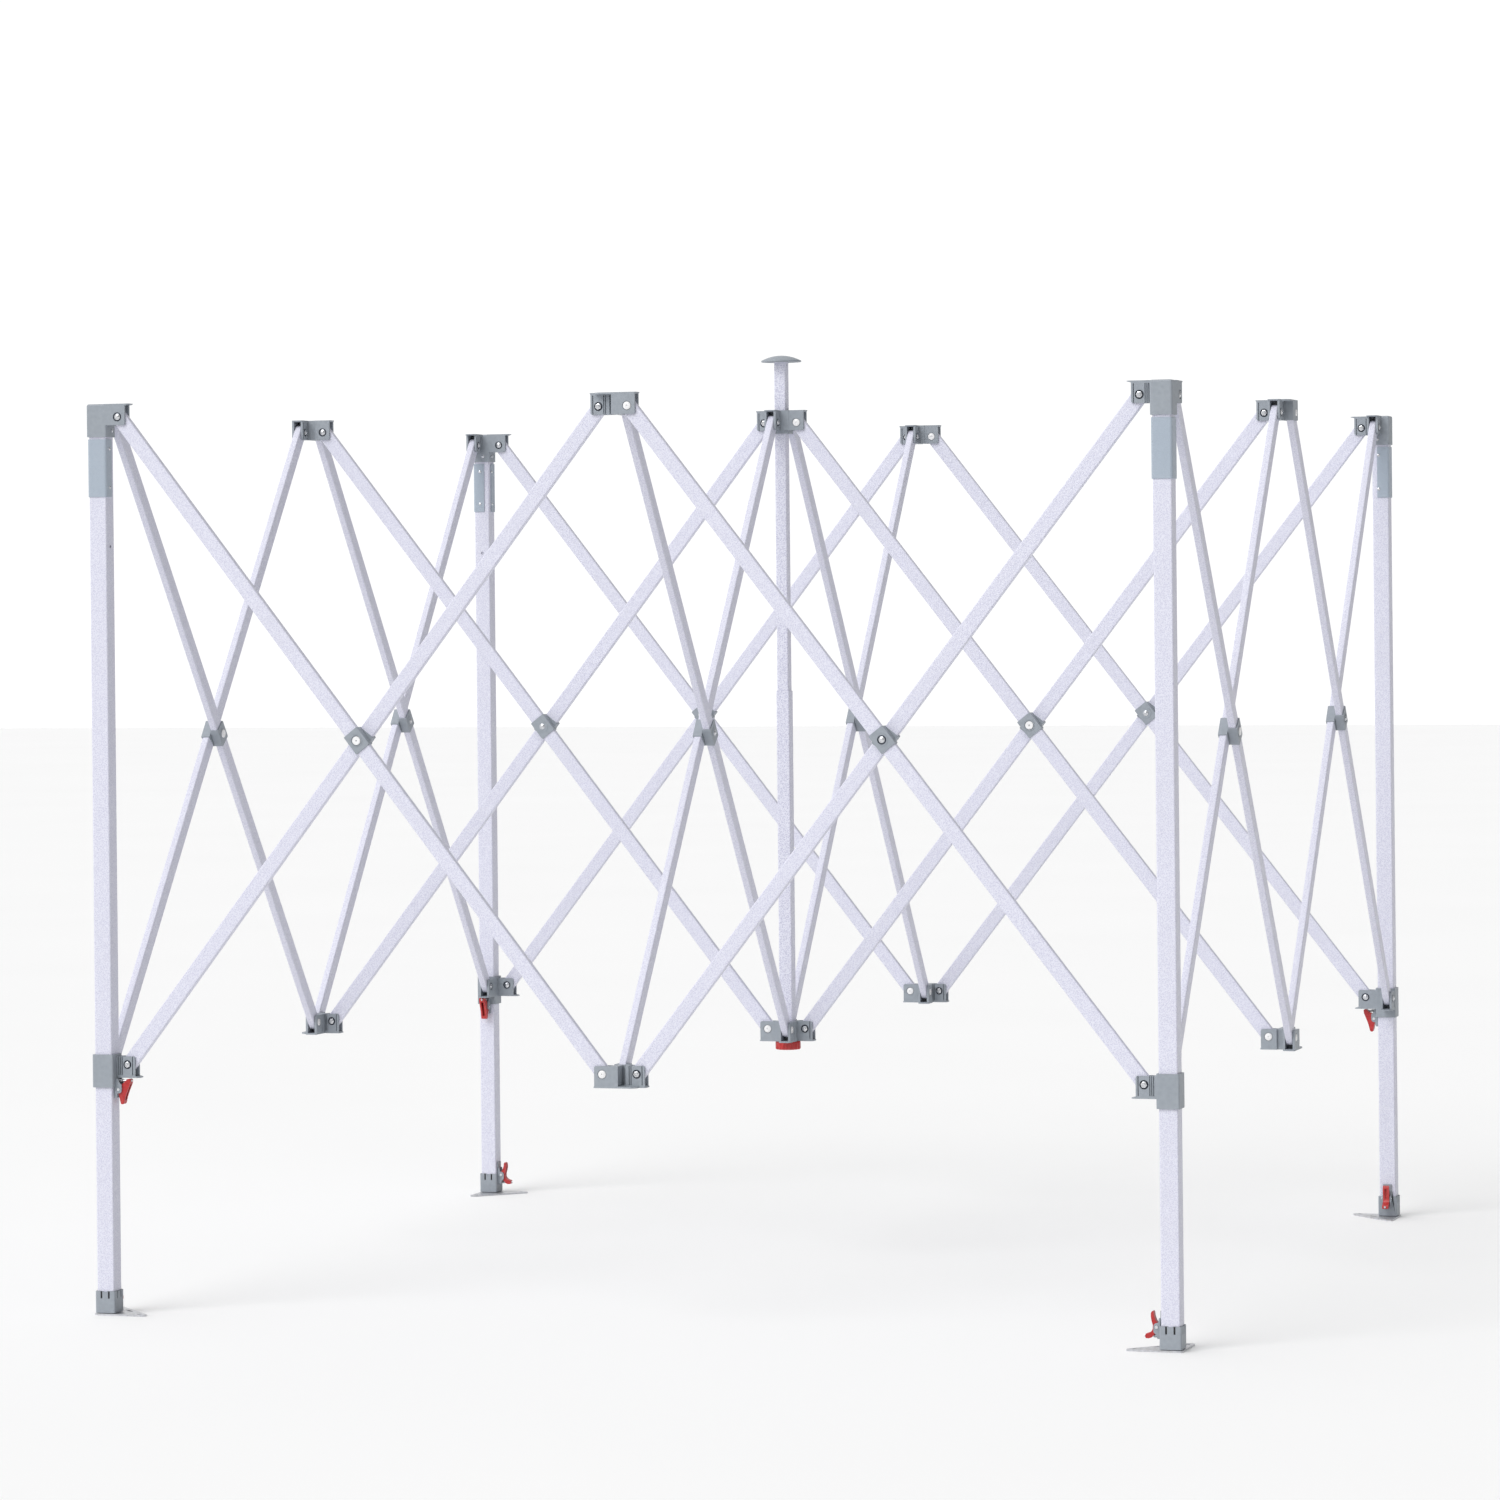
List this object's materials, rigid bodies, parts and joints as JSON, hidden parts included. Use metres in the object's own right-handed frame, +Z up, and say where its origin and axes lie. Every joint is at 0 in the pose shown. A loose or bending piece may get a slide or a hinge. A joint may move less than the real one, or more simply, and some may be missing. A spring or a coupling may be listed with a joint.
{
  "type": "pop up canopy frame",
  "caption": "Bare folding steel frame of a square pop-up canopy, part-way open: crossed bars between telescoping corner legs, sliding brackets and a sprung centre pole under a domed cap.",
  "frame": {"origin": "on the floor, at the centre of the square formed by the four legs", "axes": "+Z up; +X and +Y along the sides of the square; the front side faces -Y"},
  "size_m": [1.9344, 1.9344, 1.682],
  "materials": {
    "white_steel": "hammertone powder coat",
    "grey_plastic": "fine moulded grain",
    "red_plastic": "satin moulded"
  },
  "bodies": {
    "hub_top": {"hub_top": "grey_plastic"},
    "hub_bottom": {"hub_bottom": "grey_plastic", "pole_lower": "white_steel"},
    "pole_upper": {"pole_upper": "white_steel", "pole_cap": "grey_plastic"},
    "pole_knob": {"pole_knob": "red_plastic"},
    "truss_front_inner_high": {"truss_front_inner_high": "white_steel"},
    "truss_front_inner_low": {"truss_front_inner_low": "white_steel"},
    "truss_front_left_down": {"truss_front_left_down": "white_steel"},
    "truss_front_left_up": {"truss_front_left_up": "white_steel"},
    "truss_front_right_up": {"truss_front_right_up": "white_steel"},
    "truss_front_right_down": {"truss_front_right_down": "white_steel"},
    "mid_bracket_top_front": {"mid_bracket_top_front": "grey_plastic"},
    "mid_bracket_bottom_front": {"mid_bracket_bottom_front": "grey_plastic"},
    "truss_right_inner_high": {"truss_right_inner_high": "white_steel"},
    "truss_right_inner_low": {"truss_right_inner_low": "white_steel"},
    "truss_right_left_down": {"truss_right_left_down": "white_steel"},
    "truss_right_left_up": {"truss_right_left_up": "white_steel"},
    "truss_right_right_up": {"truss_right_right_up": "white_steel"},
    "truss_right_right_down": {"truss_right_right_down": "white_steel"},
    "mid_bracket_top_right": {"mid_bracket_top_right": "grey_plastic"},
    "mid_bracket_bottom_right": {"mid_bracket_bottom_right": "grey_plastic"},
    "truss_back_inner_high": {"truss_back_inner_high": "white_steel"},
    "truss_back_inner_low": {"truss_back_inner_low": "white_steel"},
    "truss_back_left_down": {"truss_back_left_down": "white_steel"},
    "truss_back_left_up": {"truss_back_left_up": "white_steel"},
    "truss_back_right_up": {"truss_back_right_up": "white_steel"},
    "truss_back_right_down": {"truss_back_right_down": "white_steel"},
    "mid_bracket_top_back": {"mid_bracket_top_back": "grey_plastic"},
    "mid_bracket_bottom_back": {"mid_bracket_bottom_back": "grey_plastic"},
    "truss_left_inner_high": {"truss_left_inner_high": "white_steel"},
    "truss_left_inner_low": {"truss_left_inner_low": "white_steel"},
    "truss_left_left_down": {"truss_left_left_down": "white_steel"},
    "truss_left_left_up": {"truss_left_left_up": "white_steel"},
    "truss_left_right_up": {"truss_left_right_up": "white_steel"},
    "truss_left_right_down": {"truss_left_right_down": "white_steel"},
    "mid_bracket_top_left": {"mid_bracket_top_left": "grey_plastic"},
    "mid_bracket_bottom_left": {"mid_bracket_bottom_left": "grey_plastic"},
    "leg_front_left": {"leg_front_left": "white_steel"},
    "slider_front_left": {"slider_front_left": "grey_plastic"},
    "inner_leg_front_left": {"inner_leg_front_left": "white_steel"},
    "slider_lever_front_left": {"slider_lever_front_left": "red_plastic"},
    "foot_lever_front_left": {"foot_lever_front_left": "red_plastic"},
    "leg_front_right": {"leg_front_right": "white_steel"},
    "slider_front_right": {"slider_front_right": "grey_plastic"},
    "inner_leg_front_right": {"inner_leg_front_right": "white_steel"},
    "slider_lever_front_right": {"slider_lever_front_right": "red_plastic"},
    "foot_lever_front_right": {"foot_lever_front_right": "red_plastic"},
    "leg_back_right": {"leg_back_right": "white_steel"},
    "slider_back_right": {"slider_back_right": "grey_plastic"},
    "inner_leg_back_right": {"inner_leg_back_right": "white_steel"},
    "slider_lever_back_right": {"slider_lever_back_right": "red_plastic"},
    "foot_lever_back_right": {"foot_lever_back_right": "red_plastic"},
    "leg_back_left": {"leg_back_left": "white_steel"},
    "slider_back_left": {"slider_back_left": "grey_plastic"},
    "inner_leg_back_left": {"inner_leg_back_left": "white_steel"},
    "slider_lever_back_left": {"slider_lever_back_left": "red_plastic"},
    "foot_lever_back_left": {"foot_lever_back_left": "red_plastic"}
  },
  "joints": [
    {"name": "fold", "type": "hinge", "parent": "hub_top", "child": "truss_front_inner_high", "pos_m": [-0.008, -0.0336, 1.557], "axis": [1, 0, 0], "range_deg": [-44.1, 36.2]},
    {"name": "front_inner_high_to_mid_bottom", "type": "hinge", "parent": "truss_front_inner_high", "child": "mid_bracket_bottom_front", "pos_m": [-0.008, -0.91092, 0.43408], "axis": [1, 0, 0], "range_deg": [-36.2, 44.1]},
    {"name": "front_inner_crossing", "type": "hinge", "parent": "truss_front_inner_high", "child": "truss_front_inner_low", "pos_m": [0, -0.47226, 0.99554], "axis": [1, 0, 0], "range_deg": [-72.4, 88.2]},
    {"name": "front_inner_low_to_mid_top", "type": "hinge", "parent": "truss_front_inner_low", "child": "mid_bracket_top_front", "pos_m": [0.008, -0.91092, 1.557], "axis": [1, 0, 0], "range_deg": [-44.1, 36.2]},
    {"name": "front_inner_low_to_hub_bottom", "type": "hinge", "parent": "truss_front_inner_low", "child": "hub_bottom", "pos_m": [0.008, -0.0336, 0.43408], "axis": [1, 0, 0], "range_deg": [-44.1, 36.2]},
    {"name": "front_mid_bottom_to_left_down", "type": "hinge", "parent": "mid_bracket_bottom_front", "child": "truss_front_left_down", "pos_m": [-0.028, -0.95282, 0.43408], "axis": [0, 1, 0], "range_deg": [-44.1, 36.2]},
    {"name": "front_mid_bottom_to_right_up", "type": "hinge", "parent": "mid_bracket_bottom_front", "child": "truss_front_right_up", "pos_m": [0.028, -0.93682, 0.43408], "axis": [0, 1, 0], "range_deg": [-36.2, 44.1]},
    {"name": "front_left_down_to_leg", "type": "hinge", "parent": "truss_front_left_down", "child": "leg_front_left", "pos_m": [-0.90532, -0.95282, 1.557], "axis": [0, 1, 0], "range_deg": [-36.2, 44.1]},
    {"name": "front_left_crossing", "type": "hinge", "parent": "truss_front_left_down", "child": "truss_front_left_up", "pos_m": [-0.46666, -0.94482, 0.99554], "axis": [0, 1, 0], "range_deg": [-72.4, 88.2]},
    {"name": "front_left_up_to_slider", "type": "hinge", "parent": "truss_front_left_up", "child": "slider_front_left", "pos_m": [-0.90532, -0.93682, 0.43408], "axis": [0, 1, 0], "range_deg": [-44.1, 36.2]},
    {"name": "front_right_crossing", "type": "hinge", "parent": "truss_front_right_up", "child": "truss_front_right_down", "pos_m": [0.46666, -0.94482, 0.99554], "axis": [0, 1, 0], "range_deg": [-88.2, 72.4]},
    {"name": "hub_top_to_right_inner_high", "type": "hinge", "parent": "hub_top", "child": "truss_right_inner_high", "pos_m": [0.0336, -0.008, 1.557], "axis": [0, 1, 0], "range_deg": [-44.1, 36.2]},
    {"name": "right_inner_high_to_mid_bottom", "type": "hinge", "parent": "truss_right_inner_high", "child": "mid_bracket_bottom_right", "pos_m": [0.91092, -0.008, 0.43408], "axis": [0, 1, 0], "range_deg": [-36.2, 44.1]},
    {"name": "right_inner_crossing", "type": "hinge", "parent": "truss_right_inner_high", "child": "truss_right_inner_low", "pos_m": [0.47226, 0, 0.99554], "axis": [0, 1, 0], "range_deg": [-72.4, 88.2]},
    {"name": "right_inner_low_to_mid_top", "type": "hinge", "parent": "truss_right_inner_low", "child": "mid_bracket_top_right", "pos_m": [0.91092, 0.008, 1.557], "axis": [0, 1, 0], "range_deg": [-44.1, 36.2]},
    {"name": "right_mid_bottom_to_left_down", "type": "hinge", "parent": "mid_bracket_bottom_right", "child": "truss_right_left_down", "pos_m": [0.95282, -0.028, 0.43408], "axis": [-1, 0, 0], "range_deg": [-44.1, 36.2]},
    {"name": "right_mid_bottom_to_right_up", "type": "hinge", "parent": "mid_bracket_bottom_right", "child": "truss_right_right_up", "pos_m": [0.93682, 0.028, 0.43408], "axis": [-1, 0, 0], "range_deg": [-36.2, 44.1]},
    {"name": "right_left_down_to_leg", "type": "hinge", "parent": "truss_right_left_down", "child": "leg_front_right", "pos_m": [0.95282, -0.90532, 1.557], "axis": [-1, 0, 0], "range_deg": [-36.2, 44.1]},
    {"name": "right_left_crossing", "type": "hinge", "parent": "truss_right_left_down", "child": "truss_right_left_up", "pos_m": [0.94482, -0.46666, 0.99554], "axis": [-1, 0, 0], "range_deg": [-72.4, 88.2]},
    {"name": "right_left_up_to_slider", "type": "hinge", "parent": "truss_right_left_up", "child": "slider_front_right", "pos_m": [0.93682, -0.90532, 0.43408], "axis": [-1, 0, 0], "range_deg": [-44.1, 36.2]},
    {"name": "right_right_crossing", "type": "hinge", "parent": "truss_right_right_up", "child": "truss_right_right_down", "pos_m": [0.94482, 0.46666, 0.99554], "axis": [-1, 0, 0], "range_deg": [-88.2, 72.4]},
    {"name": "hub_top_to_back_inner_high", "type": "hinge", "parent": "hub_top", "child": "truss_back_inner_high", "pos_m": [0.008, 0.0336, 1.557], "axis": [-1, 0, 0], "range_deg": [-44.1, 36.2]},
    {"name": "back_inner_high_to_mid_bottom", "type": "hinge", "parent": "truss_back_inner_high", "child": "mid_bracket_bottom_back", "pos_m": [0.008, 0.91092, 0.43408], "axis": [-1, 0, 0], "range_deg": [-36.2, 44.1]},
    {"name": "back_inner_crossing", "type": "hinge", "parent": "truss_back_inner_high", "child": "truss_back_inner_low", "pos_m": [0, 0.47226, 0.99554], "axis": [-1, 0, 0], "range_deg": [-72.4, 88.2]},
    {"name": "back_inner_low_to_mid_top", "type": "hinge", "parent": "truss_back_inner_low", "child": "mid_bracket_top_back", "pos_m": [-0.008, 0.91092, 1.557], "axis": [-1, 0, 0], "range_deg": [-44.1, 36.2]},
    {"name": "back_mid_bottom_to_left_down", "type": "hinge", "parent": "mid_bracket_bottom_back", "child": "truss_back_left_down", "pos_m": [0.028, 0.95282, 0.43408], "axis": [0, -1, 0], "range_deg": [-44.1, 36.2]},
    {"name": "back_mid_bottom_to_right_up", "type": "hinge", "parent": "mid_bracket_bottom_back", "child": "truss_back_right_up", "pos_m": [-0.028, 0.93682, 0.43408], "axis": [0, -1, 0], "range_deg": [-36.2, 44.1]},
    {"name": "back_left_down_to_leg", "type": "hinge", "parent": "truss_back_left_down", "child": "leg_back_right", "pos_m": [0.90532, 0.95282, 1.557], "axis": [0, -1, 0], "range_deg": [-36.2, 44.1]},
    {"name": "back_left_crossing", "type": "hinge", "parent": "truss_back_left_down", "child": "truss_back_left_up", "pos_m": [0.46666, 0.94482, 0.99554], "axis": [0, -1, 0], "range_deg": [-72.4, 88.2]},
    {"name": "back_left_up_to_slider", "type": "hinge", "parent": "truss_back_left_up", "child": "slider_back_right", "pos_m": [0.90532, 0.93682, 0.43408], "axis": [0, -1, 0], "range_deg": [-44.1, 36.2]},
    {"name": "back_right_crossing", "type": "hinge", "parent": "truss_back_right_up", "child": "truss_back_right_down", "pos_m": [-0.46666, 0.94482, 0.99554], "axis": [0, -1, 0], "range_deg": [-88.2, 72.4]},
    {"name": "hub_top_to_left_inner_high", "type": "hinge", "parent": "hub_top", "child": "truss_left_inner_high", "pos_m": [-0.0336, 0.008, 1.557], "axis": [0, -1, 0], "range_deg": [-44.1, 36.2]},
    {"name": "left_inner_high_to_mid_bottom", "type": "hinge", "parent": "truss_left_inner_high", "child": "mid_bracket_bottom_left", "pos_m": [-0.91092, 0.008, 0.43408], "axis": [0, -1, 0], "range_deg": [-36.2, 44.1]},
    {"name": "left_inner_crossing", "type": "hinge", "parent": "truss_left_inner_high", "child": "truss_left_inner_low", "pos_m": [-0.47226, 0, 0.99554], "axis": [0, -1, 0], "range_deg": [-72.4, 88.2]},
    {"name": "left_inner_low_to_mid_top", "type": "hinge", "parent": "truss_left_inner_low", "child": "mid_bracket_top_left", "pos_m": [-0.91092, -0.008, 1.557], "axis": [0, -1, 0], "range_deg": [-44.1, 36.2]},
    {"name": "left_mid_bottom_to_left_down", "type": "hinge", "parent": "mid_bracket_bottom_left", "child": "truss_left_left_down", "pos_m": [-0.95282, 0.028, 0.43408], "axis": [1, 0, 0], "range_deg": [-44.1, 36.2]},
    {"name": "left_mid_bottom_to_right_up", "type": "hinge", "parent": "mid_bracket_bottom_left", "child": "truss_left_right_up", "pos_m": [-0.93682, -0.028, 0.43408], "axis": [1, 0, 0], "range_deg": [-36.2, 44.1]},
    {"name": "left_left_down_to_leg", "type": "hinge", "parent": "truss_left_left_down", "child": "leg_back_left", "pos_m": [-0.95282, 0.90532, 1.557], "axis": [1, 0, 0], "range_deg": [-36.2, 44.1]},
    {"name": "left_left_crossing", "type": "hinge", "parent": "truss_left_left_down", "child": "truss_left_left_up", "pos_m": [-0.94482, 0.46666, 0.99554], "axis": [1, 0, 0], "range_deg": [-72.4, 88.2]},
    {"name": "left_left_up_to_slider", "type": "hinge", "parent": "truss_left_left_up", "child": "slider_back_left", "pos_m": [-0.93682, 0.90532, 0.43408], "axis": [1, 0, 0], "range_deg": [-44.1, 36.2]},
    {"name": "left_right_crossing", "type": "hinge", "parent": "truss_left_right_up", "child": "truss_left_right_down", "pos_m": [-0.94482, -0.46666, 0.99554], "axis": [1, 0, 0], "range_deg": [-88.2, 72.4]},
    {"name": "pole_telescope", "type": "slide", "parent": "hub_bottom", "child": "pole_upper", "axis": [0, 0, 1], "range_m": [-0.335, 0.275]},
    {"name": "knob_turn", "type": "hinge", "parent": "hub_bottom", "child": "pole_knob", "pos_m": [0, 0, 0.43408], "axis": [0, 0, 1], "continuous": true},
    {"name": "leg_extension_front_left", "type": "slide", "parent": "leg_front_left", "child": "inner_leg_front_left", "axis": [0, 0, -1], "range_m": [0, 0.6]},
    {"name": "slider_lever_front_left", "type": "hinge", "parent": "slider_front_left", "child": "slider_lever_front_left", "pos_m": [-0.91982, -0.94482, 0.39109], "axis": [0, 1, 0], "range_deg": [0, 14], "stiffness_Nm_per_rad": 0.5, "springref_deg": -22.92},
    {"name": "foot_lever_front_left", "type": "hinge", "parent": "leg_front_left", "child": "foot_lever_front_left", "pos_m": [-0.94482, -0.91982, 0.039], "axis": [1, 0, 0], "range_deg": [0, 14], "stiffness_Nm_per_rad": 0.5, "springref_deg": -22.92},
    {"name": "leg_extension_front_right", "type": "slide", "parent": "leg_front_right", "child": "inner_leg_front_right", "axis": [0, 0, -1], "range_m": [0, 0.6]},
    {"name": "slider_lever_front_right", "type": "hinge", "parent": "slider_front_right", "child": "slider_lever_front_right", "pos_m": [0.94482, -0.91982, 0.39109], "axis": [-1, 0, 0], "range_deg": [0, 14], "stiffness_Nm_per_rad": 0.5, "springref_deg": -22.92},
    {"name": "foot_lever_front_right", "type": "hinge", "parent": "leg_front_right", "child": "foot_lever_front_right", "pos_m": [0.91982, -0.94482, 0.039], "axis": [0, 1, 0], "range_deg": [0, 14], "stiffness_Nm_per_rad": 0.5, "springref_deg": -22.92},
    {"name": "leg_extension_back_right", "type": "slide", "parent": "leg_back_right", "child": "inner_leg_back_right", "axis": [0, 0, -1], "range_m": [0, 0.6]},
    {"name": "slider_lever_back_right", "type": "hinge", "parent": "slider_back_right", "child": "slider_lever_back_right", "pos_m": [0.91982, 0.94482, 0.39109], "axis": [0, -1, 0], "range_deg": [0, 14], "stiffness_Nm_per_rad": 0.5, "springref_deg": -22.92},
    {"name": "foot_lever_back_right", "type": "hinge", "parent": "leg_back_right", "child": "foot_lever_back_right", "pos_m": [0.94482, 0.91982, 0.039], "axis": [-1, 0, 0], "range_deg": [0, 14], "stiffness_Nm_per_rad": 0.5, "springref_deg": -22.92},
    {"name": "leg_extension_back_left", "type": "slide", "parent": "leg_back_left", "child": "inner_leg_back_left", "axis": [0, 0, -1], "range_m": [0, 0.6]},
    {"name": "slider_lever_back_left", "type": "hinge", "parent": "slider_back_left", "child": "slider_lever_back_left", "pos_m": [-0.94482, 0.91982, 0.39109], "axis": [1, 0, 0], "range_deg": [0, 14], "stiffness_Nm_per_rad": 0.5, "springref_deg": -22.92},
    {"name": "foot_lever_back_left", "type": "hinge", "parent": "leg_back_left", "child": "foot_lever_back_left", "pos_m": [-0.91982, 0.94482, 0.039], "axis": [0, -1, 0], "range_deg": [0, 14], "stiffness_Nm_per_rad": 0.5, "springref_deg": -22.92}
  ],
  "couplings": [
    {"joint": "front_inner_high_to_mid_bottom", "follows": "fold", "ratio": -1},
    {"joint": "front_inner_crossing", "follows": "fold", "ratio": -2},
    {"joint": "front_inner_low_to_mid_top", "follows": "fold", "ratio": 1},
    {"joint": "front_inner_low_to_hub_bottom", "follows": "fold", "ratio": 1},
    {"joint": "front_mid_bottom_to_left_down", "follows": "fold", "ratio": 1},
    {"joint": "front_mid_bottom_to_right_up", "follows": "fold", "ratio": -1},
    {"joint": "front_left_down_to_leg", "follows": "fold", "ratio": -1},
    {"joint": "front_left_crossing", "follows": "fold", "ratio": -2},
    {"joint": "front_left_up_to_slider", "follows": "fold", "ratio": 1},
    {"joint": "front_right_crossing", "follows": "fold", "ratio": 2},
    {"joint": "hub_top_to_right_inner_high", "follows": "fold", "ratio": 1},
    {"joint": "right_inner_high_to_mid_bottom", "follows": "fold", "ratio": -1},
    {"joint": "right_inner_crossing", "follows": "fold", "ratio": -2},
    {"joint": "right_inner_low_to_mid_top", "follows": "fold", "ratio": 1},
    {"joint": "right_mid_bottom_to_left_down", "follows": "fold", "ratio": 1},
    {"joint": "right_mid_bottom_to_right_up", "follows": "fold", "ratio": -1},
    {"joint": "right_left_down_to_leg", "follows": "fold", "ratio": -1},
    {"joint": "right_left_crossing", "follows": "fold", "ratio": -2},
    {"joint": "right_left_up_to_slider", "follows": "fold", "ratio": 1},
    {"joint": "right_right_crossing", "follows": "fold", "ratio": 2},
    {"joint": "hub_top_to_back_inner_high", "follows": "fold", "ratio": 1},
    {"joint": "back_inner_high_to_mid_bottom", "follows": "fold", "ratio": -1},
    {"joint": "back_inner_crossing", "follows": "fold", "ratio": -2},
    {"joint": "back_inner_low_to_mid_top", "follows": "fold", "ratio": 1},
    {"joint": "back_mid_bottom_to_left_down", "follows": "fold", "ratio": 1},
    {"joint": "back_mid_bottom_to_right_up", "follows": "fold", "ratio": -1},
    {"joint": "back_left_down_to_leg", "follows": "fold", "ratio": -1},
    {"joint": "back_left_crossing", "follows": "fold", "ratio": -2},
    {"joint": "back_left_up_to_slider", "follows": "fold", "ratio": 1},
    {"joint": "back_right_crossing", "follows": "fold", "ratio": 2},
    {"joint": "hub_top_to_left_inner_high", "follows": "fold", "ratio": 1},
    {"joint": "left_inner_high_to_mid_bottom", "follows": "fold", "ratio": -1},
    {"joint": "left_inner_crossing", "follows": "fold", "ratio": -2},
    {"joint": "left_inner_low_to_mid_top", "follows": "fold", "ratio": 1},
    {"joint": "left_mid_bottom_to_left_down", "follows": "fold", "ratio": 1},
    {"joint": "left_mid_bottom_to_right_up", "follows": "fold", "ratio": -1},
    {"joint": "left_left_down_to_leg", "follows": "fold", "ratio": -1},
    {"joint": "left_left_crossing", "follows": "fold", "ratio": -2},
    {"joint": "left_left_up_to_slider", "follows": "fold", "ratio": 1},
    {"joint": "left_right_crossing", "follows": "fold", "ratio": 2},
    {"joint": "pole_telescope", "follows": "fold", "m_per_rad": 0.43}
  ]
}
